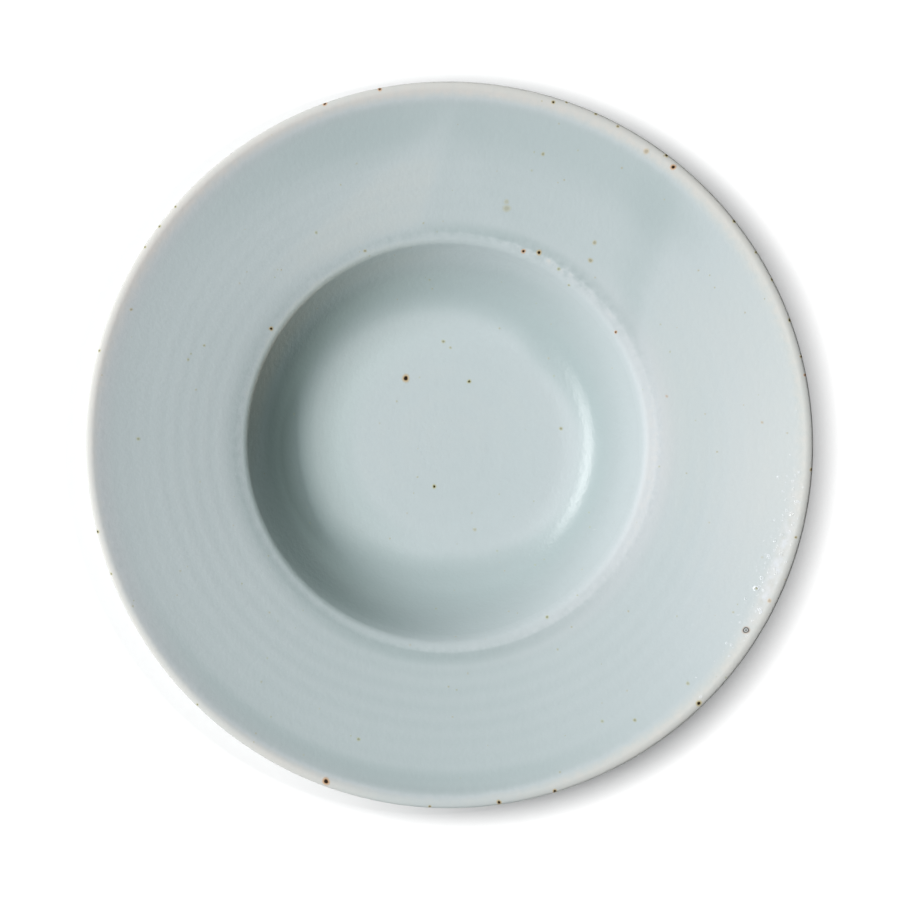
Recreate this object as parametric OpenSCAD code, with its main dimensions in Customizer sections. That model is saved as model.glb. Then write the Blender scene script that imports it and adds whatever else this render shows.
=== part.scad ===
// Wide-rimmed pasta plate in glazed stoneware.
// The clay body is one turned shape. The glaze lies on it as coats that stop at the bare foot ring
// and run thin over the lip and the edge of the well. Iron specks come up through the glaze.
// The origin is on the table, at the middle of the foot ring, with +Z up.

/* [Plate] */
// Diameter across the lip
plate_d = 280; // [260:1:300]
// Height from the table to the top of the lip
plate_h = 46; // [45:0.5:50]
// Thickness of the rim, glaze included
rim_t = 4.8; // [4.2:0.1:5.6]
// Radius of the lip's outer edge
nose_r = 1.2; // [1:0.1:1.6]

/* [Rim] */
// Rise of the rim, in degrees
rim_slope = 12; // [10:0.5:13]
// Rise of the lip that the rim turns up into, in degrees
lip_slope = 16; // [14.5:0.5:18]
// Width of the turned-up lip, seen from above
lip_w = 13.5; // [12:0.5:16]
// Distance from one throwing ring to the next
ring_pitch = 6; // [4:0.5:9]
// Height of the throwing rings
ring_h = 0.08; // [0:0.02:0.16]

/* [Well] */
// Diameter across the crest of the well's edge
well_d = 155.6; // [150:0.4:160]
// Depth from the crest to the middle of the floor
well_depth = 23.5; // [21:0.5:25]
// Rise of the well's wall, in degrees
wall_slope = 50; // [48:0.5:53]
// Thickness of the well's wall, glaze included
wall_t = 5.6; // [5:0.1:6.5]
// Radius of the cove between the floor and the wall
cove_r = 35; // [30:1:36]
// Rise of the floor towards the cove, in degrees
floor_slope = 1; // [0.5:0.5:3]
// Rise of the rolled edge just outside the crest, in degrees
edge_slope = 18; // [16:0.5:20]
// Width of the rolled edge, seen from above
edge_w = 6; // [5:0.5:8]

/* [Foot] */
// Diameter of the foot ring
foot_d = 104; // [98:1:108]
// Width of the foot ring
foot_w = 6.5; // [5:0.5:8]
// Height of the foot ring
foot_h = 3.6; // [3.4:0.1:4]
// Height of the bare clay on the sides of the foot ring
bare_h = 1.8; // [1.4:0.1:2]

/* [Glaze] */
// Thickness of the glaze
glaze_t = 0.5; // [0.4:0.05:0.6]
// Thickness of the glaze where it breaks over an edge
break_t = 0.3; // [0.25:0.05:0.35]

/* [Hidden] */
$fn = 120;

CLAY = [0.83, 0.78, 0.70];
GLAZE = [0.74, 0.80, 0.81];
THIN_GLAZE = [0.84, 0.84, 0.81];
IRON = [0.24, 0.13, 0.07];

// Radii of the rounded corners
crest_r = 5;
lip_top_r = 4;
nose_under_r = 1.6;
under_edge_r = 9;
foot_top_r = 1.2;
foot_edge_r = 1;
// Distance over which the glaze thickens again beside an edge
break_reach = 4;
// Largest turn between neighbouring points of an arc, in degrees, and fewest steps along it
arc_step = 6;
arc_least = 4;
// Distance from the axis at which the floor begins to rise, as a share of the well's radius
dish_share = 0.28;
// Fall of the lip beyond its top, in degrees
lip_fall = 12;
// Thickness of the lip
lip_t = 0.9 * rim_t;
// Straight stretch left between neighbouring arcs
gap = 0.3;
// Distance between neighbouring points on the ringed stretch of the rim
ring_step = ring_pitch / 8;
// Step of the floor inside the foot ring, below the underside outside it
recess_step = 0.6;
// How far a speck goes into the glaze, and how far it stands out of it
speck_in = 0.2;
speck_out = 0.04;

// Specks as [direction in degrees, distance from the axis, the crest or the lip's edge, diameter]
FLOOR_SPECKS = [[123, 31.3, 1.8], [72, 26.5, 1], [251, 17.9, 1]];
EDGE_SPECKS = [[33, 1.1, 0.8], [64, 4.6, 1.3], [68, 2.6, 1.1], [147, 3.8, 1.1]];
LIP_SPECKS = [
    [11, 0.5, 0.8], [14, 0.4, 0.8], [20, 0.5, 0.9], [27, 0.4, 0.8], [32, 0.5, 0.8], [38, 0.4, 1],
    [51, 2.5, 1.4], [53, 0.5, 1], [73, 2, 0.9], [101, 0.5, 1.1], [110, 0.4, 1.1], [143, 0.5, 0.8],
    [165, 0.5, 0.8], [194, 0.4, 0.9], [250, 2, 1.5], [278, 1, 1.2], [287, 0.6, 1.1], [314, 1.8, 1.4],
    [328, 5.4, 1.6], [356, 0.5, 0.9]
];

// Points and directions of the cross-section, as [distance from the axis, height]
function heading(angle) = [cos(angle), sin(angle)];
function below(angle) = [sin(angle), -cos(angle)];
function unit(v) = v / norm(v);
function turn(u, v) = u[0] * v[1] - u[1] * v[0];
// Where the line through p at angle a meets the line through q at angle b
function meet(p, a, q, b) = p + heading(a) * turn(q - p, heading(b)) / turn(heading(a), heading(b));

function slice(list, first, last) = [for (i = [first : 1 : last]) list[i]];
function tail(list) = slice(list, 1, len(list) - 1);
function reversed(list) = [for (i = [len(list) - 1 : -1 : 0]) list[i]];

function arc(centre, r, from, to) =
    let (n = max(arc_least, ceil(abs(to - from) / arc_step)))
    [for (i = [0 : n]) centre + r * heading(from + (to - from) * i / n)];

// The arc of radius r that rounds corner p between a and b
function rounded_corner(a, p, b, r) =
    let (u = unit(a - p),
         v = unit(b - p),
         half = acos(u * v) / 2,
         start = p + u * r / tan(half),
         centre = p + unit(u + v) * r / sin(half),
         from = atan2(start[1] - centre[1], start[0] - centre[0]),
         swept = (180 - 2 * half) * sign(turn(p - a, b - p)))
    arc(centre, r, from, from + swept);

// A path through corners [point, radius], where both ends stay sharp
function rounded_path(corners) = [
    corners[0][0],
    for (i = [1 : 1 : len(corners) - 2])
        each rounded_corner(corners[i - 1][0], corners[i][0], corners[i + 1][0], corners[i][1]),
    corners[len(corners) - 1][0]
];

// How far from its corner an arc begins
function setback(r, bend) = r * tan(bend / 2);
// The radius of the arc that begins a given distance from its corner
function arc_r(room, bend) = room / tan(bend / 2);

// Corners of the face, worked inwards from the lip
plate_r = plate_d / 2;
well_r = well_d / 2;
lip_top_back = setback(lip_top_r, lip_slope + lip_fall);
lip_top = [
    plate_r - (setback(nose_r, 90 - lip_fall) + lip_top_back + gap) * cos(lip_fall),
    plate_h + lip_top_back * sin(lip_slope) - lip_top_r * (1 - cos(lip_slope))
];
lip_start = lip_top - heading(lip_slope) * (lip_top_back + gap);
edge_top = meet(lip_top, -lip_fall, [plate_r, 0], 90);
edge_under = meet(lip_top + lip_t * below(lip_slope), lip_slope, [plate_r, 0], 90);
tip = (edge_top + edge_under) / 2;
nose = tip - [lip_t / 2, 0];
upturn = meet(lip_top, lip_slope, [plate_r - lip_w, 0], 90);
shoulder = meet(upturn, rim_slope, [well_r + edge_w, 0], 90);
crest = meet(shoulder, edge_slope, [well_r, 0], 90);
floor_z = crest[1] - well_depth;
dish = [dish_share * well_r, floor_z];
cove = meet(crest, wall_slope, dish, floor_slope);
// The long arcs of the floor, the rolled edge and the upturn take up the room that they have
dish_r = arc_r(dish[0] / 2, floor_slope);
shoulder_room = edge_w / cos(edge_slope) - setback(crest_r, wall_slope - edge_slope) - gap;
shoulder_r = arc_r(shoulder_room, edge_slope - rim_slope);
upturn_room = norm(lip_start - upturn) - gap;
upturn_r = arc_r(upturn_room, lip_slope - rim_slope);
// Ends of the ringed stretch, on the straight part of the rim
ring_start = shoulder + heading(rim_slope) * (shoulder_room + gap);
ring_end = upturn - heading(rim_slope) * (upturn_room + gap);
ring_run = norm(ring_end - ring_start);

// Corners of the underside and the foot ring
lip_under = edge_under - heading(lip_slope) * lip_w * 0.4;
under_upturn = meet(lip_under, lip_slope, shoulder + rim_t * below(rim_slope), rim_slope);
under_edge = meet(under_upturn, rim_slope, crest + wall_t * below(wall_slope), wall_slope);
under_cove = meet(under_edge, wall_slope, [0, foot_h], 0);
foot_r = foot_d / 2;
foot_in_r = foot_r - foot_w;
recess_z = foot_h - recess_step;
// The underside's cove takes up most of the room between the wall and the foot ring
under_cove_r = 0.9 * (under_cove[0] - foot_r - foot_top_r) / tan(wall_slope / 2);

// Height of the throwing rings, strongest near the well and gone at both ends of the stretch
function ring(along) = ring_h * sin(360 * along / ring_pitch) * sin(180 * pow(along / ring_run, 0.6));

// The surface of the glaze, from the middle of the floor over the lip to the foot ring
face_path = concat(
    rounded_path([
        [[0, floor_z], 0],
        [dish, dish_r],
        [cove, cove_r],
        [crest, crest_r],
        [shoulder, shoulder_r],
        [ring_start, 0]
    ]),
    [
        for (along = [ring_step : ring_step : ring_run - ring_step / 2])
            ring_start + heading(rim_slope) * along - below(rim_slope) * ring(along)
    ],
    rounded_path([[ring_end, 0], [upturn, upturn_r], [lip_start, 0]])
);
lip_top_path = rounded_path([[lip_start, 0], [lip_top, lip_top_r], [edge_top, nose_r], [tip, 0]]);
lip_path = concat(lip_top_path, tail(rounded_path([[tip, 0], [edge_under, nose_under_r], [lip_under, 0]])));
under_path = rounded_path([
    [lip_under, 0],
    [under_upturn, upturn_r + rim_t],
    [under_edge, under_edge_r],
    [under_cove, under_cove_r],
    [[foot_r, foot_h], foot_top_r],
    [[foot_r, bare_h], 0]
]);
outside = concat(face_path, tail(lip_path), tail(under_path));
face_last = len(face_path) - 1;
lip_last = face_last + len(lip_path) - 1;
under_last = len(outside) - 1;

// The small separate coat inside the foot ring
recess = rounded_path([[[foot_in_r, bare_h], 0], [[foot_in_r, recess_z], foot_top_r / 2], [[0, recess_z], 0]]);

// Thickness of the glaze at a point: thin on the crest and the lip, full a little way off
function from_edge(p) = min(norm(p - crest), max(0, norm(p - nose) - lip_t / 2));
function coat_t(p) = break_t + (glaze_t - break_t) * min(1, from_edge(p) / break_reach);

// The clay under a path, square to the path and one thickness of glaze away
function clay_under(path) = [
    for (i = [0 : len(path) - 1])
        let (d = path[min(i + 1, len(path) - 1)] - path[max(i - 1, 0)])
        path[i] + coat_t(path[i]) * below(atan2(d[1], d[0]))
];
outside_clay = clay_under(outside);
recess_clay = clay_under(recess);

// One coat of glaze, turned from a stretch of its surface and of the clay beneath it
module coat(surface, clay, first, last) {
    rotate_extrude()
        polygon(concat(slice(surface, first, last), reversed(slice(clay, first, last))));
}

// Short pegs that stand square to the face where the specks are
module speck_pegs() {
    specks = concat(
        FLOOR_SPECKS,
        [for (s = EDGE_SPECKS) s + [0, crest[0], 0]],
        [for (s = LIP_SPECKS) [s[0], plate_r - s[1], s[2]]]
    );
    face = concat(face_path, tail(lip_top_path));
    beside = 0.1;
    for (speck = specks) {
        rise = lookup(speck[1] + beside, face) - lookup(speck[1] - beside, face);
        rotate(speck[0])
            translate([speck[1], 0, lookup(speck[1], face)])
                rotate([0, -atan2(rise, 2 * beside), 0])
                    translate([0, 0, -speck_in])
                        cylinder(d = speck[2], h = speck_in + speck_out);
    }
}

// The thrown clay, with the bare foot ring that the plate stands on
module clay_body() {
    outer_side = outside_clay[under_last];
    inner_side = recess_clay[0];
    foot = rounded_path([
        [outer_side, 0],
        [[outer_side[0], 0], foot_edge_r],
        [[inner_side[0], 0], foot_edge_r],
        [inner_side, 0]
    ]);
    color(CLAY)
        rotate_extrude()
            polygon(concat(outside_clay, tail(foot), tail(recess_clay)));
}

// The coat over the well and the rim
module face_glaze() {
    color(GLAZE)
        difference() {
            coat(outside, outside_clay, 0, face_last);
            speck_pegs();
        }
}

// The thin coat that breaks over the turned-up lip
module lip_glaze() {
    color(THIN_GLAZE)
        difference() {
            coat(outside, outside_clay, face_last, lip_last);
            speck_pegs();
        }
}

module underside_glaze() {
    color(GLAZE)
        coat(outside, outside_clay, lip_last, under_last);
}

module foot_recess_glaze() {
    color(GLAZE)
        coat(recess, recess_clay, 0, len(recess) - 1);
}

// Iron that melted and came up in the glaze, seated in it and a little proud
module iron_specks() {
    color(IRON)
        speck_pegs();
}

clay_body();
face_glaze();
lip_glaze();
underside_glaze();
foot_recess_glaze();
iron_specks();
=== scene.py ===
"""A wide-rimmed stoneware pasta plate in pale speckled glaze, on white, under soft studio light."""

import math
from collections import namedtuple

import bpy
import numpy as np
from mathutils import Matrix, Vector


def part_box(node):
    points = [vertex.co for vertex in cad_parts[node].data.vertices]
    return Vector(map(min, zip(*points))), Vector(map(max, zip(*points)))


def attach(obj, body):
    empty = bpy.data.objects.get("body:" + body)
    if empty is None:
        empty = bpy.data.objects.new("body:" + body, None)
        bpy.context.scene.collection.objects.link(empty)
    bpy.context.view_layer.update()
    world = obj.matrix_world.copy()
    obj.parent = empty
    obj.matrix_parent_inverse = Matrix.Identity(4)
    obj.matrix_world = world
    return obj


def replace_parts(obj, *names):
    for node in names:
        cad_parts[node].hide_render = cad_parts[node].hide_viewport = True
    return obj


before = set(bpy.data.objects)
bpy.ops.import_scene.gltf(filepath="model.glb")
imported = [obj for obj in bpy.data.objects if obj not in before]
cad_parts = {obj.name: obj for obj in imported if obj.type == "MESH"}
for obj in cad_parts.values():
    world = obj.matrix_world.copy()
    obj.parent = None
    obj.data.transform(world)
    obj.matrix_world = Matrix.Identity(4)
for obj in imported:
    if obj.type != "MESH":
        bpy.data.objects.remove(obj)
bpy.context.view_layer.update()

# Sizes of the section in millimetres, read from the solids where they show them
MM = 0.001
GLAZE_T = 0.5
BREAK_T = 0.3
PLATE_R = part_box("lip_glaze")[1].x / MM
PLATE_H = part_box("lip_glaze")[1].z / MM
FLOOR_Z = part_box("face_glaze")[0].z / MM + GLAZE_T
GLAZE_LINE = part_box("underside_glaze")[0].z / MM
RECESS_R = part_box("foot_recess_glaze")[1].x / MM - GLAZE_T
RECESS_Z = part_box("foot_recess_glaze")[1].z / MM - GLAZE_T
FOOT_W = 6.5
FOOT_R = RECESS_R + FOOT_W
FOOT_H = 3.6
FOOT_EDGE_R = 1.0
FOOT_TOP_R = 1.2
RIM_T = 4.8
RIM_SLOPE = math.radians(12)
NOSE_R = 1.2
NOSE_UNDER_R = 1.6
LIP_SLOPE = math.radians(16)
LIP_FALL = math.radians(12)
LIP_W = 13.5
LIP_T = 0.9 * RIM_T
LIP_TOP_R = 4.0
WELL_R = 77.8
EDGE_SLOPE = math.radians(18)
EDGE_W = 6.0
CREST_R = 5.0
WALL_SLOPE = math.radians(50)
WALL_T = 5.6
COVE_R = 35.0
FLOOR_SLOPE = math.radians(1)
DISH_X = 0.28 * WELL_R
UNDER_EDGE_R = 9.0
# Straight stretch left between neighbouring arcs
GAP = 0.3
# Points of the section closer together than this count as one
TOUCHING = 1e-6
# Distance over which the glaze thickens again beside an edge
BREAK_REACH = 4.0
# Points round the plate, and their directions
SPOKES = 288
AROUND = np.linspace(0, 2 * math.pi, SPOKES, endpoint=False)[None]
rng = np.random.default_rng(7)


# The section of the plate

def heading(angle):
    return np.array([math.cos(angle), math.sin(angle)])


def below(angle):
    return np.array([math.sin(angle), -math.cos(angle)])


def unit(v):
    return v / np.linalg.norm(v)


def turn(u, v):
    return u[0] * v[1] - u[1] * v[0]


def meet(p, a, q, b):
    """Where the line through p at angle a meets the line through q at angle b."""
    return p + heading(a) * turn(q - p, heading(b)) / turn(heading(a), heading(b))


def corner_arc(before, p, after, radius, steps):
    """The arc that rounds corner p."""
    u, v = unit(before - p), unit(after - p)
    half = math.acos(u @ v) / 2
    centre = p + unit(u + v) * radius / math.sin(half)
    start = p + u * radius / math.tan(half) - centre
    swept = math.copysign(math.pi - 2 * half, turn(p - before, after - p))
    angles = math.atan2(start[1], start[0]) + swept * np.linspace(0, 1, steps + 1)
    return centre + radius * np.column_stack([np.cos(angles), np.sin(angles)])


def rounded_path(corners):
    """A path through corners (point, radius, steps on the arc, steps on the line after it)."""
    places = [np.array(corner[0], float) for corner in corners]
    stretches = []
    for i, (_, radius, arc_steps, _) in enumerate(corners):
        if radius:
            stretches.append(corner_arc(places[i - 1], places[i], places[i + 1], radius, arc_steps))
        else:
            stretches.append(places[i][None])
    points = []
    for stretch, following, corner in zip(stretches, stretches[1:], corners):
        points += [stretch, np.linspace(stretch[-1], following[0], corner[3] + 1)[1:-1]]
    points = np.concatenate(points + [stretches[-1]])
    apart = np.linalg.norm(np.diff(points, axis=0), axis=1) > TOUCHING
    return points[np.r_[True, apart]]


def outward(path):
    """Unit normals of a path, on the side away from the clay."""
    along = np.gradient(path, axis=0)
    along /= np.linalg.norm(along, axis=1)[:, None]
    return np.column_stack([-along[:, 1], along[:, 0]])


def setback(radius, bend):
    """How far from its corner an arc begins."""
    return radius * math.tan(bend / 2)


def arc_r(room, bend):
    """The radius of the arc that begins a given distance from its corner."""
    return room / math.tan(bend / 2)


def upright(x):
    return np.array([x, 0]), math.pi / 2


lip_top_back = setback(LIP_TOP_R, LIP_SLOPE + LIP_FALL)
lip_top = np.array([
    PLATE_R - (setback(NOSE_R, math.pi / 2 - LIP_FALL) + lip_top_back + GAP) * math.cos(LIP_FALL),
    PLATE_H + lip_top_back * math.sin(LIP_SLOPE) - LIP_TOP_R * (1 - math.cos(LIP_SLOPE)),
])
lip_start = lip_top - heading(LIP_SLOPE) * (lip_top_back + GAP)
edge_top = meet(lip_top, -LIP_FALL, *upright(PLATE_R))
edge_under = meet(lip_top + LIP_T * below(LIP_SLOPE), LIP_SLOPE, *upright(PLATE_R))
nose = (edge_top + edge_under) / 2 - np.array([LIP_T / 2, 0])
upturn = meet(lip_top, LIP_SLOPE, *upright(PLATE_R - LIP_W))
shoulder = meet(upturn, RIM_SLOPE, *upright(WELL_R + EDGE_W))
crest = meet(shoulder, EDGE_SLOPE, *upright(WELL_R))
dish = np.array([DISH_X, FLOOR_Z])
cove = meet(crest, WALL_SLOPE, dish, FLOOR_SLOPE)
under_upturn = meet(edge_under, LIP_SLOPE, shoulder + RIM_T * below(RIM_SLOPE), RIM_SLOPE)
under_edge = meet(under_upturn, RIM_SLOPE, crest + WALL_T * below(WALL_SLOPE), WALL_SLOPE)
under_cove = meet(under_edge, WALL_SLOPE, np.array([0, FOOT_H]), 0)
edge_room = EDGE_W / math.cos(EDGE_SLOPE) - setback(CREST_R, WALL_SLOPE - EDGE_SLOPE) - GAP
shoulder_r = arc_r(edge_room, EDGE_SLOPE - RIM_SLOPE)
upturn_r = arc_r(np.linalg.norm(lip_start - upturn) - GAP, LIP_SLOPE - RIM_SLOPE)
under_cove_r = arc_r(0.9 * (under_cove[0] - FOOT_R - FOOT_TOP_R), WALL_SLOPE)

outside = rounded_path([
    ((0, FLOOR_Z), 0, 0, 5),
    (dish, arc_r(DISH_X / 2, FLOOR_SLOPE), 14, 8),
    (cove, COVE_R, 24, 10),
    (crest, CREST_R, 12, 1),
    (shoulder, shoulder_r, 14, 50),
    (upturn, upturn_r, 26, 1),
    (lip_top, LIP_TOP_R, 8, 1),
    (edge_top, NOSE_R, 8, 1),
    (edge_under, NOSE_UNDER_R, 8, 4),
    (under_upturn, upturn_r / 2, 8, 14),
    (under_edge, UNDER_EDGE_R, 8, 12),
    (under_cove, under_cove_r, 8, 3),
    ((FOOT_R, FOOT_H), FOOT_TOP_R, 6, 2),
    ((FOOT_R, GLAZE_LINE), 0, 0, 0),
])
recess = rounded_path([
    ((RECESS_R, GLAZE_LINE), 0, 0, 2),
    ((RECESS_R, RECESS_Z), FOOT_TOP_R / 2, 6, 16),
    ((0, RECESS_Z), 0, 0, 0),
])


def coat_t(path):
    """Thickness of the glaze along a path: thin on the crest and the lip, full a little way off."""
    from_crest = np.linalg.norm(path - crest, axis=1)
    from_nose = np.maximum(0, np.linalg.norm(path - nose, axis=1) - LIP_T / 2)
    reach = np.minimum(from_crest, from_nose) / BREAK_REACH
    return BREAK_T + (GLAZE_T - BREAK_T) * np.clip(reach, 0, 1)


# The hand in the making: throwing rings and a turned form that isn't quite true

RING_PITCH = 6.4
RING_H = 0.02
RINGS_FACE = math.radians(235)
CREST_LEAN = np.array([-1.0, 0.8])
CREST_LEAN_WIDTH = 14.0
RIM_WAVE = 0.25
OUTLINE_WAVE = 0.15
OUTLINE_BULGE = 0.75
# Direction of the bulge and its half width, in degrees
BULGE_FACES = (322, 50)
# Distances from the axis at which the rings begin, are full, begin to fade and end, on the rim and the floor
RIM_RINGS = (WELL_R + EDGE_W, WELL_R + 2 * EDGE_W, PLATE_R - LIP_W, PLATE_R - 4)
FLOOR_RINGS = (2, 8, 30, 46)


def smooth(x, low, high):
    """0 below low and 1 above high, with a smooth rise between."""
    f = np.clip((x - low) / (high - low), 0, 1)
    return f * f * (3 - 2 * f)


def span(x, begin, full, painted_shadow_fade, end):
    """1 from full to fade, and 0 outside begin and end."""
    return smooth(x, begin, full) * (1 - smooth(x, painted_shadow_fade, end))


def bump(x, middle, width):
    return np.exp(-((x - middle) / width) ** 2)


def bearing(theta, degrees):
    """Angle from a direction given in degrees, between -180 and 180."""
    return (np.degrees(theta) - degrees + 180) % 360 - 180


def toward(theta, degrees, width):
    """1 in a direction, fading over a width in degrees to either side."""
    return bump(bearing(theta, degrees), 0, width)


def rings(r, theta):
    """Height of the throwing rings on the face. They wind outwards and are strongest near the well."""
    fainter = 1 - 0.6 * smooth(r, 104, 124)
    strength = span(r, *RIM_RINGS) * fainter * (0.6 + 0.4 * np.cos(theta - RINGS_FACE))
    spread = 0.5 * np.sin(2 * theta + r / 17)
    coarse = np.sin(2 * math.pi * r / RING_PITCH + theta + spread)
    floor = 0.3 * span(r, *FLOOR_RINGS) * np.sin(2 * math.pi * r / (1.5 * RING_PITCH) + theta)
    return RING_H * (strength * coarse + floor)


def placed(r, z, normal, theta, lift, is_face):
    """Points of the plate in metres. lift is the height above the section, along its normal."""
    height = lift + np.where(is_face, rings(r, theta), 0)
    out = r + height * normal[0]
    up = z + height * normal[1]
    far = np.maximum(0, (r - FOOT_R) / (PLATE_R - FOOT_R)) ** 2
    lean = bump(r, WELL_R, CREST_LEAN_WIDTH)
    out = out + far * (OUTLINE_WAVE * np.sin(3 * theta + 1) + OUTLINE_BULGE * toward(theta, *BULGE_FACES))
    x = out * np.cos(theta) + CREST_LEAN[0] * lean
    y = out * np.sin(theta) + CREST_LEAN[1] * lean
    up = up + RIM_WAVE * far * np.sin(2 * theta + 0.7)
    return MM * np.stack(np.broadcast_arrays(x, y, up), axis=-1)


def turned(points, normals, is_face):
    """Rings of points made by turning a section, as an array of section by spokes by 3."""
    normal = (normals[:, :1], normals[:, 1:])
    return placed(points[:, :1], points[:, 1:], normal, AROUND, 0, is_face[:, None])


# The state of the glaze on the face, by distance from the axis and direction

# The soft edge of the pool of glaze at the foot of the wall, as (direction in degrees, distance). From 150 to
# 210 degrees it follows the edge of the shadow that the crest casts on the left wall, so the pool there is
# partly painted shade.
POOL_EDGE = np.array([
    (0, 56), (30, 50), (45, 48.5), (60, 52), (90, 54.5), (120, 57), (150, 59.5),
    (180, 57.5), (210, 56), (240, 49.5), (270, 46), (300, 48), (330, 55),
])
# The pool's thickness, and half the width of its edge
POOL_T = 0.27
POOL_SOFT = 6
# Where the pool thins up the wall, and by what share of its thickness
POOL_THINS = (62, 76)
POOL_THINNED = 0.85
# Distances as in the next list: for the collar that gathered outside the well's edge, and for the rim
COLLAR = (WELL_R + 3.3, WELL_R + 4.1, WELL_R + 5, WELL_R + 9.5)
RIM = (WELL_R + 3, WELL_R + 7, PLATE_R - 9, PLATE_R - 4)
# Where the coat is thicker or thinner, in places as painted shade, light and sheen, as (millimetres added,
# direction and half width in degrees, and the distances from the axis at which this begins, is full, begins
# to fade and ends)
STRETCHES = [
    # On the wall
    (0.08, 205, 48, (34, 42, 60, 70)),
    (0.12, 0, 48, (46, 60, 75, 78)),
    (0.05, 278, 42, (56, 61, 74, 77)),
    # Painted light: this thinner, paler stretch brightens the upper wall just under the crest at the upper
    # left.
    (-0.2, 158, 34, (66, 75, 77, 78.5)),
    # Breaks over the well's edge at both sides, and a collar that gathered outside it
    (-0.08, 352, 28, (WELL_R - 2, WELL_R + 1, WELL_R + 3.4, WELL_R + 5)),
    # This break also paints the well edge's thin highlight as a cream line at the upper left.
    (-0.1, 135, 42, (WELL_R - 1.5, WELL_R + 0.5, WELL_R + 1.5, WELL_R + 3)),
    (0.23, 272, 38, COLLAR),
    (0.17, 60, 34, COLLAR),
    (0.07, 185, 45, COLLAR),
    # On the rim
    # Painted sheen: this thinner stretch and the one at 352 degrees make the rim paler at the right, where it
    # faces the light.
    (-0.05, 5, 30, RIM),
    (0.08, 264, 38, RIM),
    (-0.06, 352, 30, (98, 126, *RIM[2:])),
    (0.07, 107, 17, (106, 126, *RIM[2:])),
]
# The same in spots, as (millimetres added, direction and half width in degrees, distance and half width)
SPOTS = [
    # The first two spots are painted shade: they darken the shaded left wall, and the wall just under the
    # crest at the lower left.
    (0.38, 187, 36, 62, 5.5), (0.3, 232, 32, 73, 4), (0.05, 36, 18, 56, 6), (-0.13, 102, 28, 69, 7),
    (0.16, 225, 30, WELL_R + 3.6, 1.1),
]
# The edge of the dark painted reflection on the upper rim, as (distance from the axis, direction in degrees)
PAINTED_REFLECTION_EDGE = np.array([(82, 28), (96, 39), (126, 47)])
# How far from the axis the top of the pale wedge of painted reflection on the upper rim lies
PAINTED_WEDGE_TOP = 125
# How far inside the outline the lip's thin glaze begins
LIP_THIN = 7
# How much further out it begins in places, as (millimetres, direction and half width in degrees)
LIP_EDGE = [(2.8, 207, 45), (-1.2, 338, 14), (0.7, 275, 25), (0.7, 118, 22)]
# The share of the throwing rings that the glaze fills in
RINGS_FILLED = 0.8


def pools_and_painted_light(r, theta):
    """Glaze that pooled at the foot of the wall and thins up it, with the stretches and the spots; some of
    these are painted shade, light and sheen.
    """
    edge = np.interp(np.degrees(theta), *POOL_EDGE.T, period=360)
    added = POOL_T * smooth(r - edge, -POOL_SOFT, POOL_SOFT) * (1 - POOL_THINNED * smooth(r, *POOL_THINS))
    for amount, direction, width, distances in STRETCHES:
        added = added + amount * toward(theta, direction, width) * span(r, *distances)
    for amount, direction, width, distance, reach in SPOTS:
        added = added + amount * toward(theta, direction, width) * bump(r, distance, reach)
    return added


def past_painted_reflection(r, theta):
    """Degrees past the edge of the painted reflection."""
    return bearing(theta, 0) - np.interp(r, *PAINTED_REFLECTION_EDGE.T)


def painted_reflection_dark(r, theta):
    """1 where the painted reflection is darkest, on the outer rim."""
    return smooth(r, 104, 124) * span(past_painted_reflection(r, theta), -3, 6, 70, 115)


def painted_reflection_wedge(r, theta):
    """1 on the pale wedge of painted reflection at the top of the rim, which leans to the left as it goes
    down.
    """
    x, down = r * np.cos(theta), PAINTED_WEDGE_TOP - r * np.sin(theta)
    right, left = 2 - 0.3 * down, -3.4 - 1.13 * down
    return smooth(right - x, -3, 4) * smooth(x - left, -8, 6) * (1 - smooth(down, 45, 70))


def painted_reflections(r, theta):
    """Painted reflection on the upper rim, as glaze added and taken away: darker past its edge, with a dark
    line along the edge, and paler on the wedge.
    """
    past = past_painted_reflection(r, theta)
    line = 0.06 * bump(past, 3, 5) * (1 - smooth(r, 112, 124))
    line = line + 0.11 * toward(theta, 45.5, 8) * bump(r, 124, 9)
    coats = 0.03 * span(past, -3, 1, 38, 45) + 0.04 * painted_reflection_dark(r, theta)
    return span(r, *RIM) * (coats + line - 0.06 * painted_reflection_wedge(r, theta) - 0.03)


def lip_runs(r, theta):
    """Glaze added near the lip: painted shade, as thicker glaze, darkens a band just inside it at the lower
    left, with the dark of the painted reflection at the top, and the glaze runs thin over it.
    """
    edge = PLATE_R - LIP_THIN
    for amount, direction, width in LIP_EDGE:
        edge = edge + amount * toward(theta, direction, width)
    painted_dark_inside_lip = 0.17 * toward(theta, 252, 36) * smooth(r, PLATE_R - 16, PLATE_R - 10)
    painted_dark_inside_lip = (painted_dark_inside_lip + 0.03 * painted_reflection_dark(r, theta)) * (1 - smooth(r - edge, -1, 2))
    over = 0.1 * toward(theta, 269, 16) * smooth(r, PLATE_R - 9, PLATE_R - 6)
    return painted_dark_inside_lip + over - 0.2 * smooth(r - edge, -2, 4)


def thickness_and_painted_light(r, theta):
    """Thickness of the glaze in millimetres, where it ran, pooled or broke, and where thicker or thinner
    glaze paints shade, light, sheen and reflections.
    """
    runs_and_painted_light = pools_and_painted_light(r, theta) + painted_reflections(r, theta) + lip_runs(r, theta)
    return GLAZE_T + runs_and_painted_light - RINGS_FILLED * rings(r, theta)


def raggedness(r, theta):
    """How ragged the edge of the glaze's break is: most on the well's edge at the upper right."""
    on_edge = bump(r, WELL_R + 3.6, 2.5) * (0.35 + 0.9 * toward(theta, 58, 16))
    on_lip = 0.2 * bump(r, PLATE_R - 5, 3)
    return on_edge + on_lip


def mattness(r):
    """How matt the glaze is: on the well's edge and the lip, where it is thin."""
    return bump(r, WELL_R + 0.8, 3) + 0.9 * smooth(r, PLATE_R - 4, PLATE_R - 1.5)


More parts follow.
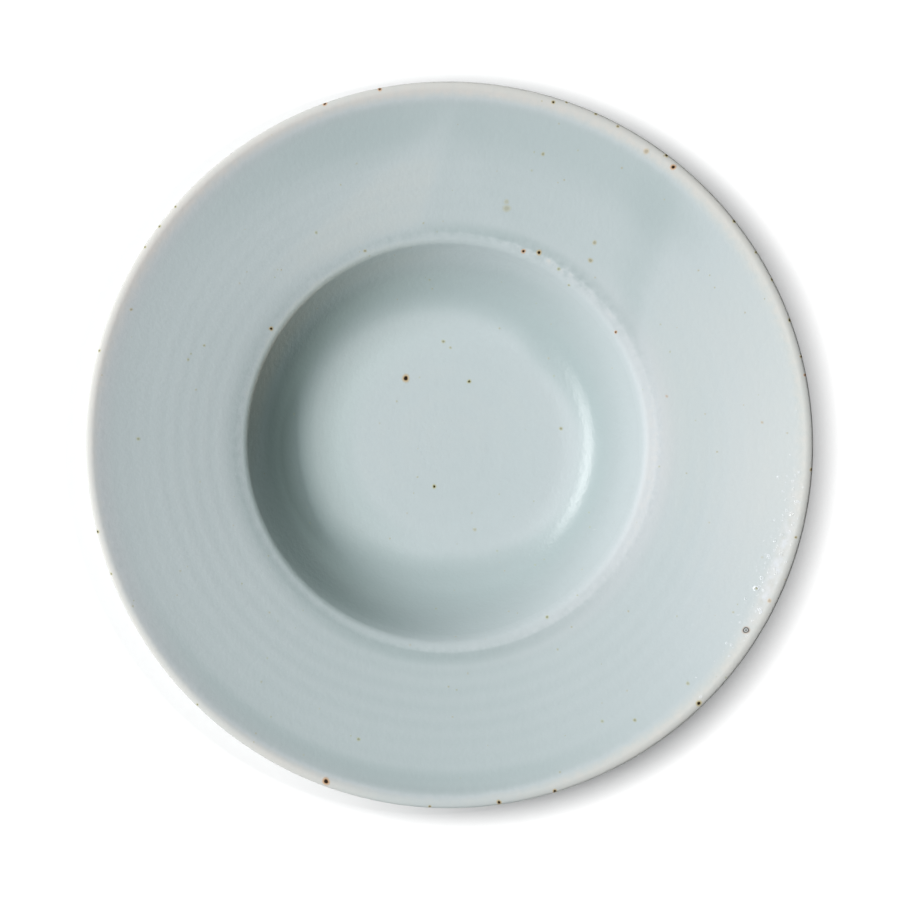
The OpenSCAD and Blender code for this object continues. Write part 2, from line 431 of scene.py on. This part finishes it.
def painted_light_tint(r, theta):
    """A tint from -1 to 1 that follows the light: painted shade, cool and green, on the shaded left wall of
    the well, painted light, warm, on its lit right wall, and warm on the lip at the left.
    """
    toward_right = np.cos(theta - math.radians(350))
    up_wall = 0.35 * smooth(r, 30, 50) + 0.65 * smooth(r, 58, 66)
    past_edge = np.where(toward_right > 0, 0.9 * smooth(r, 82, 92), smooth(r, 76.5, 80.5))
    in_well = toward_right * up_wall * (1 - past_edge)
    on_lip = (0.45 - 0.45 * toward_right) * bump(r, PLATE_R - 5, 4)
    return np.clip(in_well + on_lip, -1, 1)


def milk_and_painted_sheen(r, theta):
    """How milky the glaze is: partly fine bubbles, partly painted sheen of the light, as a veil on the rim at
    the right and most just inside the lip at the right.
    """
    veil = 0.18 * toward(theta, 352, 34) * span(r, 94, 116, PLATE_R - 7, PLATE_R - 4)
    band = 0.55 * toward(theta, 340, 10) * bump(r, PLATE_R - 5.2, 2)
    return veil + band


def face_state(r, theta):
    """The glaze at points of the face: its thickness, and how ragged, matt, warm and milky it is, with
    painted shade, light and sheen carried in thickness, warmth and milkiness.
    """
    state = {
        "coat": thickness_and_painted_light(r, theta),
        "ragged": raggedness(r, theta),
        "matt": mattness(r),
        "warm": painted_light_tint(r, theta),
        "milk_and_painted_sheen": milk_and_painted_sheen(r, theta),
    }
    shape = np.broadcast_shapes(np.shape(r), np.shape(theta))
    return {key: np.broadcast_to(numbers, shape) for key, numbers in state.items()}


# Meshes

# Points closer together than this, in metres, count as one
SAME_POINT = 1e-7


def new_piece(name, points, faces, surface, values=None):
    """A smooth mesh object. values holds named arrays of one number, or one colour, per point."""
    mesh = bpy.data.meshes.new(name)
    mesh.from_pydata(np.asarray(points).tolist(), [], faces)
    for key, numbers in (values or {}).items():
        is_colour = np.ndim(numbers) == 2
        kind, field = ("FLOAT_COLOR", "color") if is_colour else ("FLOAT", "value")
        mesh.attributes.new(key, kind, "POINT").data.foreach_set(field, np.ravel(numbers))
    mesh.validate()
    mesh.shade_smooth()
    mesh.materials.append(surface)
    piece = bpy.data.objects.new(name, mesh)
    bpy.context.scene.collection.objects.link(piece)
    return piece


def is_on_axis(row):
    """Whether a turned row has shrunk to one point."""
    return np.ptp(row, axis=0).max() < SAME_POINT


def lathe(rows, closed):
    """Points and faces of turned rows. A row on the axis becomes one point. closed joins last to first."""
    points, index = [], []
    for row in rows:
        start = len(points)
        if is_on_axis(row):
            points.append(row[0])
            index.append([start] * SPOKES)
        else:
            points += list(row)
            index.append(list(range(start, start + SPOKES)))
    faces = []
    pairs = list(zip(index, index[1:])) + ([(index[-1], index[0])] if closed else [])
    for a, b in pairs:
        for j in range(SPOKES):
            k = (j + 1) % SPOKES
            face = [a[j], a[k], b[k], b[j]]
            face = [p for i, p in enumerate(face) if p != face[i - 1]]
            if len(face) > 2:
                faces.append(face)
    return points, faces


def per_point(rows, numbers):
    """Numbers of section by spokes, as one list in the order in which lathe keeps its points."""
    return np.concatenate([line[:1] if is_on_axis(row) else line for row, line in zip(rows, numbers)])


# Materials

def adder(tree):
    """A function that adds a node to a tree, with inputs that are sockets or constants."""
    def add(kind, inputs=None, **settings):
        node = tree.nodes.new(kind)
        for key, value in settings.items():
            setattr(node, key, value)
        for key, value in (inputs or {}).items():
            if isinstance(value, bpy.types.NodeSocket):
                tree.links.new(value, node.inputs[key])
            else:
                node.inputs[key].default_value = value
        return node

    return add


def new_material(name):
    made = bpy.data.materials.new(name)
    made.use_nodes = True
    tree = made.node_tree
    return made, tree.nodes["Principled BSDF"], adder(tree), tree.links


def attribute(add, name, output="Fac"):
    """A value that the mesh carries at its points."""
    return add("ShaderNodeAttribute", attribute_name=name).outputs[output]


def noise(add, where, scale, detail):
    return add("ShaderNodeTexNoise", {"Vector": where, "Scale": scale, "Detail": detail}).outputs["Fac"]


def calc(add, kind, a, b):
    return add("ShaderNodeMath", {0: a, 1: b}, operation=kind).outputs[0]


def ranged(add, value, low, high, to_low=0, to_high=1, clamp=True):
    """A value carried from the range low to high to another range."""
    ends = {"From Min": low, "From Max": high, "To Min": to_low, "To Max": to_high}
    return add("ShaderNodeMapRange", {"Value": value, **ends}, clamp=clamp).outputs["Result"]


def wander(add, value, reach):
    """A noise's wandering about zero, from -reach to reach."""
    return ranged(add, value, 0, 1, -reach, reach, clamp=False)


def mixed(add, factor, a, b, blend="MIX"):
    """Colour a turning into colour b by factor. Each is a socket or a constant."""
    node = add("ShaderNodeMix", {0: factor, 6: a, 7: b}, data_type="RGBA", blend_type=blend)
    return node.outputs[2]


def ramp(add, value, stops):
    """A colour ramp through (position, colour) stops."""
    node = add("ShaderNodeValToRGB", {"Fac": value})
    elements = node.color_ramp.elements
    while len(elements) < len(stops):
        elements.new(0.5)
    for element, (position, colour) in zip(elements, stops):
        element.position = position
        element.color = (*colour, 1)
    return node.outputs["Color"]


# Colours of the fired materials
CREAM = (0.745, 0.735, 0.70)
PALE = (0.635, 0.69, 0.693)
GLAZE = (0.585, 0.663, 0.688)
POOLED = (0.50, 0.588, 0.606)
THICK = (0.40, 0.49, 0.503)
DEEP = (0.325, 0.405, 0.415)
MILKY_SHEEN = (0.79, 0.83, 0.875)
IRON = (0.016, 0.007, 0.003)
AMBER = (0.66, 0.34, 0.11)
OLIVE = (0.48, 0.53, 0.20)
BUFF, LIGHT_BUFF = (0.52, 0.42, 0.31), (0.64, 0.54, 0.42)
CLAY_GRAIN = (0.35, 0.28, 0.22)
# Tints of the glaze that follow the light: cool and greener as painted shade, warmer as painted light
COOL = (0.935, 1.0, 0.93)
EVEN = (0.9975, 1.0, 0.985)
WARM = (1.055, 1.0, 0.995)
# Thickness of the glaze, in millimetres, at the ends of its colour ramp
RAMP_LOW, RAMP_HIGH = 0.25, 1.05
GLAZE_RAMP = [(0.06, CREAM), (0.2, PALE), (0.3125, GLAZE), (0.4875, POOLED), (0.85, THICK), (1, DEEP)]
PAINTED_LIGHT_TINT_RAMP = [(0, COOL), (0.5, EVEN), (1, WARM)]
# Roughness that matt glaze has more than the rest
MATT_ROUGHNESS = 0.4
# Noises in the glaze and the clay, as (scale, detail)
JAGS, STREAKS, CLOUDS, GRAIN = (330, 2), (45, 2), (16, 4), (220, 3)
MOTTLES, SHEEN, PEEL = (260, 2), (60, 3), (600, 2)
CLAY_CLOUDS, GRIT = (40, 3), (700, 5)
# Heights of the glaze's peel and the clay's grit in metres
PEEL_H, GRIT_H = 0.00013, 0.0003
# The haze and painted sheen at which mottles begin and are full
MOTTLED = (0.22, 0.4)


def coat_thickness(add, where):
    """Thickness of the glaze in millimetres, as on the mesh, with ragged edges and a slight wandering."""
    across = add("ShaderNodeVectorMath", {0: where, 1: (1, 1, 0)}, operation="MULTIPLY").outputs[0]
    direction = add("ShaderNodeVectorMath", {0: across}, operation="NORMALIZE").outputs[0]
    streaks = noise(add, direction, *STREAKS)
    jags = calc(add, "ADD", wander(add, noise(add, where, *JAGS), 0.3), wander(add, streaks, 0.09))
    thick = calc(add, "ADD", attribute(add, "coat"), calc(add, "MULTIPLY", attribute(add, "ragged"), jags))
    clouds, grain = noise(add, where, *CLOUDS), noise(add, where, *GRAIN)
    for source, reach in ((clouds, 0.035), (grain, 0.015), (streaks, 0.012)):
        thick = calc(add, "ADD", thick, wander(add, source, reach))
    return thick


def glaze_colour(add, where):
    """The glaze's colour by its thickness, with the tint of painted shade and light, and milky where fine
    bubbles lie in it and where it paints the light's sheen.
    """
    share = ranged(add, coat_thickness(add, where), RAMP_LOW, RAMP_HIGH)
    tint = ramp(add, ranged(add, attribute(add, "warm"), -1, 1), PAINTED_LIGHT_TINT_RAMP)
    clear = mixed(add, 1.0, ramp(add, share, GLAZE_RAMP), tint, "MULTIPLY")
    sheen_and_haze = attribute(add, "milk_and_painted_sheen")
    mottles = wander(add, noise(add, where, *MOTTLES), 2.5)
    mottled = calc(add, "MULTIPLY", ranged(add, sheen_and_haze, *MOTTLED), mottles)
    milk_and_sheen = calc(add, "MULTIPLY", sheen_and_haze, calc(add, "ADD", mottled, 1.0))
    return mixed(add, milk_and_sheen, clear, (*MILKY_SHEEN, 1))


def stained(add, glaze):
    """A glaze's colour with the stains on the mesh, which are the iron, its halo and the halo's warmth."""
    stain = attribute(add, "stain", "Color")
    iron, halo, warmth = add("ShaderNodeSeparateColor", {"Color": stain}).outputs
    halo_colour = mixed(add, warmth, (*OLIVE, 1), (*AMBER, 1))
    return mixed(add, iron, mixed(add, halo, glaze, halo_colour), (*IRON, 1))


def speckled_glaze(name, shine, roughness):
    """Glaze that pales to cream where it is thin, with iron stains where the mesh says so."""
    made, shader, add, links = new_material(name)
    where = add("ShaderNodeTexCoord").outputs["Object"]
    links.new(stained(add, glaze_colour(add, where)), shader.inputs["Base Color"])
    gloss = ranged(add, noise(add, where, *SHEEN), 0, 1, 0.75 * roughness, 1.25 * roughness)
    matt = calc(add, "MULTIPLY", attribute(add, "matt"), MATT_ROUGHNESS)
    links.new(calc(add, "ADD", gloss, matt), shader.inputs["Roughness"])
    peel_noise = noise(add, where, *PEEL)
    peel = add("ShaderNodeBump", {"Strength": 0.6, "Distance": PEEL_H, "Height": peel_noise})
    links.new(peel.outputs["Normal"], shader.inputs["Normal"])
    shader.inputs["Specular IOR Level"].default_value = shine
    return made


def bare_clay():
    """Fired stoneware: buff, grainy and matt, with dark grains of iron."""
    made, shader, add, links = new_material("bare_clay")
    where = add("ShaderNodeTexCoord").outputs["Object"]
    grain, clouds = noise(add, where, *GRIT), noise(add, where, *CLAY_CLOUDS)
    buff = ramp(add, clouds, [(0.3, BUFF), (0.7, LIGHT_BUFF)])
    dots = add("ShaderNodeTexVoronoi", {"Vector": where, "Scale": 420}).outputs["Distance"]
    dark = ramp(add, dots, [(0.1, CLAY_GRAIN), (0.22, (1, 1, 1))])
    links.new(mixed(add, 1.0, buff, dark, "MULTIPLY"), shader.inputs["Base Color"])
    links.new(ranged(add, grain, 0, 1, 0.7, 0.95), shader.inputs["Roughness"])
    grit = add("ShaderNodeBump", {"Strength": 0.5, "Distance": GRIT_H, "Height": grain})
    links.new(grit.outputs["Normal"], shader.inputs["Normal"])
    return made


glaze_material = speckled_glaze("speckled_glaze", shine=0.135, roughness=0.175)
bubble_material = speckled_glaze("bubbled_glaze", shine=0.3, roughness=0.16)
clay_material = bare_clay()

# The pieces

EDGE_STEPS = 6
TIP_INDEX = int(np.argmax(outside[:, 0]))
CLAY_STRIDE = 3


def glaze_edge(end, side):
    """The rounded edge where a coat of glaze ends on the foot ring. side is 1 outside it, and -1 inside."""
    angles = np.linspace(0, math.pi, EDGE_STEPS + 1)[1:-1]
    half = GLAZE_T / 2
    return np.column_stack([end[0] - side * half * (1 - np.cos(angles)), end[1] - half * np.sin(angles)])


def thinned(count):
    """Every few indexes of a path, with both ends."""
    return np.unique(np.r_[np.arange(0, count, CLAY_STRIDE), count - 1])


def coat_section(path, side, face_until):
    """The section of a coat: its points and normals, its thickness, and which points are on the face."""
    normals, thick = outward(path), coat_t(path)
    is_face = np.arange(len(path)) <= face_until
    end = -1 if side > 0 else 0
    edge = glaze_edge(path[end], side)[::side]
    count = len(edge)
    on_path = (path, normals, thick, is_face)
    on_edge = (edge, np.tile(normals[end], (count, 1)), np.full(count, GLAZE_T), np.zeros(count, bool))
    keep = thinned(len(path))[::-1]
    on_clay = (path[keep] - normals[keep] * thick[keep, None], normals[keep], thick[keep], is_face[keep])
    order = (on_path, on_edge, on_clay) if side > 0 else (on_edge, on_path, on_clay)
    return [np.concatenate(parts) for parts in zip(*order)]


def coat_rows(path, side, face_until):
    """Turned rows of a coat of glaze, round its section, with the glaze's state at their points."""
    section, normals, thick, is_face = coat_section(path, side, face_until)
    state = face_state(section[:, :1], AROUND)
    elsewhere = {**dict.fromkeys(state, 0), "coat": thick[:, None]}
    rows = turned(section, normals, is_face)
    values = {}
    for key, numbers in state.items():
        values[key] = per_point(rows, np.where(is_face[:, None], numbers, elsewhere[key]))
    return rows, values


def glaze_piece(name, path, side, face_until):
    rows, values = coat_rows(path, side, face_until)
    points, faces = lathe(rows, closed=side < 0)
    piece = new_piece(name, points, faces, glaze_material, values)
    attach(piece, "root")
    return piece


glaze_coat = glaze_piece("glaze_coat", outside, side=1, face_until=TIP_INDEX)
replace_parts(glaze_coat, "face_glaze", "lip_glaze", "underside_glaze")
recess_coat = glaze_piece("foot_recess_coat", recess, side=-1, face_until=-1)
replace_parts(recess_coat, "foot_recess_glaze")


def stoneware():
    """The clay body, which shows only as the bare foot ring."""
    outer_keep, inner_keep = thinned(len(outside)), thinned(len(recess))
    outer = outside - outward(outside) * coat_t(outside)[:, None]
    inner = recess - outward(recess) * coat_t(recess)[:, None]
    foot = rounded_path([
        (outer[-1], 0, 0, 2),
        ((outer[-1][0], 0), FOOT_EDGE_R, 6, 8),
        ((inner[0][0], 0), FOOT_EDGE_R, 6, 2),
        (inner[0], 0, 0, 0),
    ])
    section = np.concatenate([outer[outer_keep], foot[1:-1], inner[inner_keep]])
    face = np.zeros(len(section), bool)
    face[:len(outer_keep)] = outer_keep <= TIP_INDEX
    rows = turned(section, outward(section), face)
    points, faces = lathe(rows, closed=False)
    piece = new_piece("stoneware_body", points, faces, clay_material)
    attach(piece, "root")
    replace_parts(piece, "clay_body")


stoneware()

# Specks and bubbles, as small patches of glaze that lie on the face

along = np.r_[0, np.cumsum(np.linalg.norm(np.diff(outside, axis=0), axis=1))]
outside_normals = outward(outside)
PATCH_SPOKES = 20
# How far a patch stands out of the coat at its middle, and sinks into it at its edge
PATCH_OUT = 0.018
PATCH_IN = 0.012
# share is each point's distance from the middle, as a share of the radius, and state is the glaze's there
Patch = namedtuple("Patch", "points faces share state")


def patch_faces(levels):
    """Faces of a patch with so many levels: a fan round its middle, and rings outside it."""
    faces = [[0, 1 + j, 1 + (j + 1) % PATCH_SPOKES] for j in range(PATCH_SPOKES)]
    for level in range(levels - 1):
        a, b = 1 + level * PATCH_SPOKES, 1 + (level + 1) * PATCH_SPOKES
        for j in range(PATCH_SPOKES):
            k = (j + 1) % PATCH_SPOKES
            faces.append([a + j, b + j, b + k, a + k])
    return faces


def patch(direction, r, radius, levels, relief, irregular):
    """A patch on the face with an irregular edge. relief is its height by the share of its radius."""
    start = np.interp(r, outside[:TIP_INDEX + 1, 0], along[:TIP_INDEX + 1])
    angle = np.linspace(0, 2 * math.pi, PATCH_SPOKES, endpoint=False)
    turns = rng.uniform(0, 2 * math.pi, 2)
    edge = 1 + irregular * (np.sin(2 * angle + turns[0]) + 0.6 * np.sin(3 * angle + turns[1]))
    share = np.r_[0, np.repeat(levels, PATCH_SPOKES)]
    reach = np.r_[0, (np.outer(levels, edge) * radius).ravel()]
    angles = np.r_[0, np.tile(angle, len(levels))]
    s = start + reach * np.cos(angles)
    out, up = (np.interp(s, along, outside[:, i]) for i in (0, 1))
    normal = [np.interp(s, along, outside_normals[:, i]) for i in (0, 1)]
    theta = direction + reach * np.sin(angles) / np.maximum(out, 1)
    lift = (PATCH_OUT + PATCH_IN) * (1 - share ** 2) - PATCH_IN + relief(share)
    points = placed(out, up, normal, theta, lift, True)
    return Patch(points, patch_faces(len(levels)), share, face_state(out, theta))


class Patches:
    """Collects patches into one mesh."""

    def __init__(self):
        self.points, self.faces, self.states = [], [], []

    def add(self, made, stain):
        start = sum(len(points) for points in self.points)
        self.points.append(made.points)
        self.faces += [[start + i for i in face] for face in made.faces]
        self.states.append({**made.state, "stain": stain})

    def piece(self, name, slot, surface):
        values = {key: np.concatenate([state[key] for state in self.states]) for key in self.states[0]}
        made = new_piece(name, np.concatenate(self.points), self.faces, surface, values)
        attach(made, "root")
        return made


# Specks as (direction in degrees, distance from the axis, diameter of the iron, warmth of its halo, depth
# of its colour). The first list is in the solids too.
LARGE_SPECKS = [
    (123, 31, 1.8, 0.7, 1), (72, 26, 1, 0.2, 0.9), (251, 17.5, 1, 0.2, 1), (33, 78.5, 0.8, 1, 0.95),
    (64, 82, 1.3, 0.6, 1), (68, 80, 1.1, 1, 1), (147, 81, 1.1, 0.5, 1), (11, 139.5, 0.8, 1, 0.9),
    (14, 139.6, 0.8, 0.5, 1), (20, 139.5, 0.9, 0.3, 1), (27, 139.6, 0.8, 0.3, 1),
    (32, 139.5, 0.8, 0.3, 0.9), (38, 139.6, 1, 0.3, 1), (51, 137.5, 1.4, 1, 1), (53, 139.5, 1, 0.4, 1),
    (73, 138, 0.9, 0.4, 1), (101, 139.5, 1.1, 1, 0.9), (110, 139.6, 1.1, 1, 1),
    (143, 139.5, 0.8, 0.2, 0.8), (165, 139.5, 0.8, 0.2, 0.7), (194, 139.6, 0.9, 0.2, 1),
    (250, 138, 1.8, 1, 1), (278, 139, 1.2, 0.6, 1), (287, 139.4, 1.1, 0.6, 1), (314, 138.2, 1.4, 0.4, 1),
    (328, 134.6, 1.6, 0.4, 0.9), (356, 139.5, 0.9, 0.5, 0.9),
]
SMALL_SPECKS = [
    (93, 40.5, 0.9, 0.2, 0.55), (89, 38, 0.7, 0.2, 0.4), (8, 44.5, 0.9, 0.2, 0.55),
    (287, 35, 0.9, 0.3, 0.3), (113, 80.7, 0.8, 0.3, 0.55), (57, 80.2, 0.9, 0.1, 0.5),
    (52, 77.4, 0.7, 0.2, 0.5), (300, 78.3, 0.9, 0.1, 0.6), (54, 96.4, 1.1, 0.4, 0.45),
    (52, 90, 1.2, 0.4, 0.5), (76, 94, 1.8, 0.3, 0.3), (76.5, 96.5, 1.2, 0.3, 0.25),
    (72, 118, 0.9, 0.3, 0.5), (253, 119, 0.9, 0.1, 0.5), (179, 120, 0.9, 0.1, 0.45),
    (158, 102, 0.7, 0.2, 0.45), (162, 106, 0.7, 0.2, 0.4), (122, 96.5, 0.8, 0.1, 0.4),
    (157, 133, 0.8, 0.4, 0.45), (12, 87, 0.7, 0.9, 0.3), (56, 136.3, 1.4, 0.6, 0.4),
    (62, 138.9, 0.8, 0.4, 0.7), (66, 139.5, 0.8, 0.3, 0.9), (71, 139.6, 0.7, 0.3, 0.8),
    (139, 139.5, 0.7, 0.2, 0.8), (147, 139.5, 0.7, 0.2, 0.8), (201, 139.5, 0.7, 0.2, 0.7),
    (226, 139.4, 0.6, 0.2, 0.7), (267, 139.5, 0.8, 0.4, 0.8), (334, 136.9, 1, 0.8, 0.4),
    (335, 130.7, 1, 0.2, 0.6), (345, 137.9, 0.7, 0.4, 0.7), (304, 128, 0.9, 0.2, 0.5),
    (315, 130, 0.9, 0.2, 0.4), (299, 122, 0.8, 0.1, 0.35), (4, 121, 0.7, 0.7, 0.3),
]
SPECK_LEVELS = np.array([0.12, 0.22, 0.3, 0.36, 0.42, 0.5, 0.58, 0.68, 0.8, 1])
SPECK_IRREGULAR = 0.07
# The speck that burst
BURST = (328, 134.6)
# The iron's share of a speck's patch
CORE = 0.36
# Faint specks, with the ends of their diameter, warmth and depth
SCATTER = 150
FAINT_ENDS = [(0.25, 0.6), (0, 0.5), (0.12, 0.35)]


def speck_stain(share, warmth, depth):
    core = depth ** 1.7 * (1 - smooth(share, 0.7 * CORE, 1.15 * CORE))
    halo = 0.8 * depth ** 0.7 * (1 - smooth(share, 0.8 * CORE, 0.85))
    return np.column_stack([core, halo, np.full_like(share, warmth), np.ones_like(share)])


def burst_stain(share):
    """A burst bubble with an iron grain in it: a dark ring round a dark dot."""
    core = 0.98 * bump(share, 0.42, 0.115) + 0.95 * (1 - smooth(share, 0.1, 0.2))
    halo = 0.25 * span(share, 0.4, 0.6, 0.6, 0.95)
    return np.column_stack([core, halo, np.ones_like(share), np.ones_like(share)])


def no_relief(share):
    """A patch that follows the face."""
    return np.zeros_like(share)


def scattered_specks():
    """Faint specks, spread evenly over the face."""
    for _ in range(SCATTER):
        r = PLATE_R * math.sqrt(rng.uniform(0.002, 0.99))
        direction = rng.uniform(0, 360)
        yield direction, r, *[rng.uniform(*ends) for ends in FAINT_ENDS]


specks = Patches()
for direction, r, diameter, warmth, depth in [*LARGE_SPECKS, *SMALL_SPECKS, *scattered_specks()]:
    made = patch(math.radians(direction), r, diameter / 2 / CORE, SPECK_LEVELS, no_relief, SPECK_IRREGULAR)
    is_burst = (direction, r) == BURST
    specks.add(made, burst_stain(made.share) if is_burst else speck_stain(made.share, warmth, depth))
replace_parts(specks.piece("melted_specks", "iron", glaze_material), "iron_specks")

# Burst bubbles in the glaze, most of them just inside the lip at the right
BUBBLE_LEVELS = np.array([0.2, 0.35, 0.45, 0.55, 0.65, 0.8, 1])
BUBBLE_IRREGULAR = 0.05
BUBBLES = 130
# Where they lie: their direction and its spread in degrees, their distance from the axis and its spread,
# and the limits of that distance
BUBBLE_FACES = (340, 9)
BUBBLE_BAND = (132.5, 2.4)
BUBBLE_LIMITS = (124, 137)
# Their smallest radius, the mean of what is added to it, and the largest
BUBBLE_LEAST, BUBBLE_ADDED, BUBBLE_MOST = 0.3, 0.2, 0.8
# How milky the ring round a bubble is, which partly paints its glint
BUBBLE_MILK_AND_GLINT = 0.6
# Heights as shares of a bubble's radius
BUBBLE_DEPTH = 0.08
BUBBLE_RIM = 0.08
NO_STAIN = (0.0, 0.0, 0.0, 1.0)
# Bubbles by themselves, as (direction in degrees, distance from the axis, radius)
LARGE_BUBBLES = [
    (334.9, 130.6, 1.5), (336.9, 130.9, 1.1), (348.5, 134.4, 1.1), (338.5, 135, 0.9), (332, 135, 0.8),
]


def crater(radius):
    """The relief of a burst bubble: a hollow in a raised ring."""
    def relief(share):
        return radius * (BUBBLE_RIM * bump(share, 0.55, 0.18) - BUBBLE_DEPTH * bump(share, 0, 0.3))

    return relief


def scattered_bubbles():
    for _ in range(BUBBLES):
        direction = rng.normal(*BUBBLE_FACES)
        r = np.clip(rng.normal(*BUBBLE_BAND), *BUBBLE_LIMITS)
        yield direction, r, min(BUBBLE_LEAST + rng.exponential(BUBBLE_ADDED), BUBBLE_MOST)


bubbles = Patches()
for direction, r, radius in [*LARGE_BUBBLES, *scattered_bubbles()]:
    made = patch(math.radians(direction), r, radius, BUBBLE_LEVELS, crater(radius), BUBBLE_IRREGULAR)
    made.state["milk_and_painted_sheen"] = BUBBLE_MILK_AND_GLINT * bump(made.share, 0.5, 0.25)
    bubbles.add(made, np.tile(NO_STAIN, (len(made.share), 1)))
bubbles.piece("glaze_bubbles", "glaze", bubble_material)

# The stage

WHITE = (1, 1, 1, 1)
FLOOR_SIZE = 30.0
FLOOR_COLOUR = (0.85, 0.85, 0.85, 1)
# The floor's glow towards the camera, which paints the plate's shadow: dim under and beside the plate, and
# white a little way off, in metres
PAINTED_SHADOW_CENTRE = (-0.0067, -0.0013, 0)
PAINTED_SHADOW_START, PAINTED_SHADOW_END = 0.1442, 0.161
PAINTED_SHADOW_GLOW = 0.1
# Light from all around
AMBIENT = 0.01


def seen_directly(add):
    """1 for rays from the camera, and those that reach it by reflection or through glass."""
    path = add("ShaderNodeLightPath").outputs
    mirrored = calc(add, "MAXIMUM", path["Is Camera Ray"], path["Is Glossy Ray"])
    return calc(add, "MAXIMUM", mirrored, path["Is Transmission Ray"])


def white_floor():
    """A white floor that keeps the real shadow and is lifted to white where the camera sees it, with a
    painted shadow where that lift is dimmed under and beside the plate.
    """
    made, shader, add, links = new_material("white_floor")
    made.node_tree.nodes.remove(shader)
    matt = add("ShaderNodeBsdfDiffuse", {"Color": FLOOR_COLOUR})
    where = add("ShaderNodeTexCoord").outputs["Object"]
    off = add("ShaderNodeVectorMath", {0: where, 1: PAINTED_SHADOW_CENTRE}, operation="DISTANCE").outputs["Value"]
    painted_shadow_fade = ranged(add, off, PAINTED_SHADOW_START, PAINTED_SHADOW_END, PAINTED_SHADOW_GLOW)
    strength = calc(add, "MULTIPLY", seen_directly(add), painted_shadow_fade)
    glow = add("ShaderNodeEmission", {"Color": WHITE, "Strength": strength})
    both = add("ShaderNodeAddShader", {0: matt.outputs[0], 1: glow.outputs[0]})
    links.new(both.outputs[0], made.node_tree.nodes["Material Output"].inputs["Surface"])
    return made


def studio():
    """A world that looks white and gives a faint light from all around."""
    made = bpy.data.worlds.new("studio")
    made.use_nodes = True
    tree = made.node_tree
    add = adder(tree)
    sky = tree.nodes["Background"]
    sky.inputs["Color"].default_value = WHITE
    tree.links.new(ranged(add, seen_directly(add), 0, 1, AMBIENT, 1), sky.inputs["Strength"])
    return made


half = FLOOR_SIZE / 2
corners = [(-half, -half, 0), (half, -half, 0), (half, half, 0), (-half, half, 0)]
floor = new_piece("floor", corners, [[0, 1, 2, 3]], white_floor())
scene = bpy.context.scene
scene.view_settings.view_transform = "Standard"
scene.world = studio()

# One long soft light on an arc at the left, in stretches of (azimuth in degrees, power in watts)
KEY = [(143, 38), (155, 82), (167, 96), (179, 84), (191, 73), (203, 38), (215, 10)]
KEY_ELEVATION = math.radians(48)
# Sizes in metres
KEY_DISTANCE = 6.0
KEY_WIDTH, KEY_HEIGHT = 0.84, 1.4


def softbox(name, azimuth, power):
    """A stretch of the light, which faces the plate."""
    lamp = bpy.data.lights.new(name, "AREA")
    lamp.shape = "RECTANGLE"
    lamp.size = KEY_WIDTH
    lamp.size_y = KEY_HEIGHT
    lamp.energy = power
    stand = bpy.data.objects.new(name, lamp)
    scene.collection.objects.link(stand)
    off_axis = KEY_DISTANCE * math.cos(KEY_ELEVATION)
    height = KEY_DISTANCE * math.sin(KEY_ELEVATION)
    stand.location = (off_axis * math.cos(azimuth), off_axis * math.sin(azimuth), height)
    stand.rotation_euler = (math.pi / 2 - KEY_ELEVATION, 0, azimuth + math.pi / 2)


for azimuth, power in KEY:
    softbox(f"key_{azimuth}", math.radians(azimuth), power)

# The camera looks straight down, with the plate where the photograph has it
PICTURE = 900
PLATE_PX = (448.7, 444.3)
PLATE_R_PX = 362.9
LENS = 200.0
SENSOR = 36.0
metres_per_px = PLATE_R * MM / PLATE_R_PX
distance = PICTURE * metres_per_px * LENS / SENSOR
camera_data = bpy.data.cameras.new("camera")
camera_data.lens = LENS
camera_data.sensor_width = SENSOR
camera = bpy.data.objects.new("camera", camera_data)
camera.location = (
    (PICTURE / 2 - PLATE_PX[0]) * metres_per_px,
    -(PICTURE / 2 - PLATE_PX[1]) * metres_per_px,
    nose[1] * MM + distance,
)
scene.collection.objects.link(camera)
scene.camera = camera
